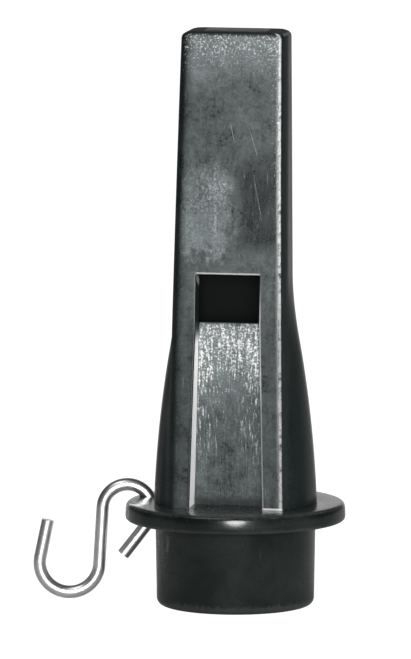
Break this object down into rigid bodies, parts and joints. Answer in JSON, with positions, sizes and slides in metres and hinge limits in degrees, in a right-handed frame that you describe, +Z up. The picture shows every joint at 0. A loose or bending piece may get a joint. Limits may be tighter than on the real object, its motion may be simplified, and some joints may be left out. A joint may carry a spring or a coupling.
{
  "type": "bird call",
  "caption": "Whistle-type bird call: slab mouthpiece with sound window on a tapered barrel, flanged end cap with a wire S-hook, loose trill ball inside.",
  "frame": {"origin": "centre of the end cap's flat foot", "axes": "+Z up along the barrel to the mouth end, -Y out of the sound window, the hook hangs on the -X side"},
  "size_m": [0.049, 0.0342, 0.0895],
  "materials": {
    "body_plastic": "satin black, worn bright on the edges",
    "block_plastic": "dull black",
    "cap_plastic": "glossy black",
    "ball_cork": "cork",
    "hook_wire": "bright plated wire"
  },
  "bodies": {
    "call": {"whistle_body": "body_plastic", "windway_block": "block_plastic", "end_cap": "cap_plastic"},
    "ball": {"trill_ball": "ball_cork"},
    "hook": {"s_hook": "hook_wire"}
  },
  "joints": [
    {"name": "ball_travel", "type": "slide", "parent": "call", "child": "ball", "axis": [0, 0, 1], "range_m": [0, 0.037]},
    {"name": "hook_swing", "type": "hinge", "parent": "call", "child": "hook", "pos_m": [-0.01749, 0.00211, 0.0141], "axis": [-0.184, 0.9829, 0], "range_deg": [0, 120]}
  ]
}
